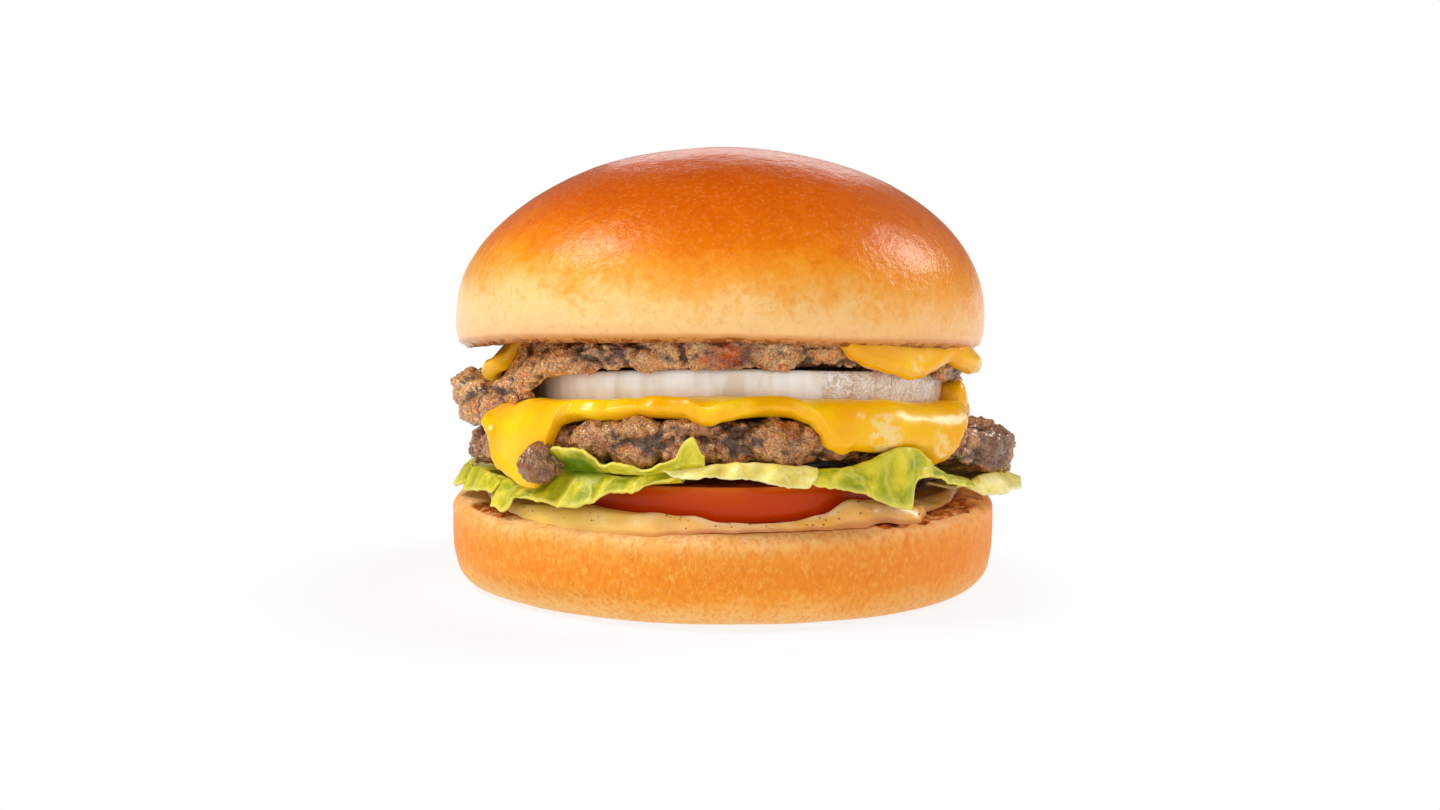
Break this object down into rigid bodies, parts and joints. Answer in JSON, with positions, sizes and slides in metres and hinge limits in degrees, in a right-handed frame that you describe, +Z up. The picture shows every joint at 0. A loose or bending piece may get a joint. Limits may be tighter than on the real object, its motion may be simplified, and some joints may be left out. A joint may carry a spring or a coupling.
{
  "type": "hamburger",
  "caption": "Double hamburger: soft glazed bun with beef patties, melted cheese, an onion slice, a tomato slice, lettuce and sauce.",
  "frame": {"origin": "centre of the flat underside of the bottom bun, on the surface that the hamburger stands on", "axes": "+Z up through the stack, -Y towards the shown front, +X to the right seen from the front, where the lettuce sticks out furthest"},
  "size_m": [0.1096, 0.1036, 0.0831],
  "materials": {
    "crust": "soft glazed bun crust, golden brown on top and pale at its lower edge",
    "heel_crust": "soft bun side, mottled golden with fine wrinkles",
    "beef": "seared minced beef, craggy and a little greasy",
    "cheese": "melted yellow cheese, smooth and glossy",
    "onion": "raw white onion, wet and slightly see-through",
    "tomato": "fresh tomato with a smooth shiny skin",
    "lettuce": "yellow-green lettuce leaf with veins",
    "pale_lettuce": "pale cream and yellow-green lettuce leaf with ribs",
    "sauce": "smooth orange-beige burger sauce with pepper specks"
  },
  "bodies": {
    "root": {"bottom_bun": "heel_crust", "sauce": "sauce", "tomato_slice": "tomato", "lettuce_left_tip": "lettuce", "lettuce_front_ruffle": "lettuce", "lettuce_front_curl": "lettuce", "lettuce_front_pale": "pale_lettuce", "lettuce_right_fold": "pale_lettuce", "lettuce_right_tip": "pale_lettuce", "lettuce_back_right": "lettuce", "lettuce_back": "pale_lettuce", "lettuce_back_left": "lettuce", "lower_patty": "beef", "lower_cheese": "cheese", "onion_slice": "onion", "upper_patty": "beef", "upper_cheese": "cheese", "top_bun": "crust"}
  },
  "joints": []
}
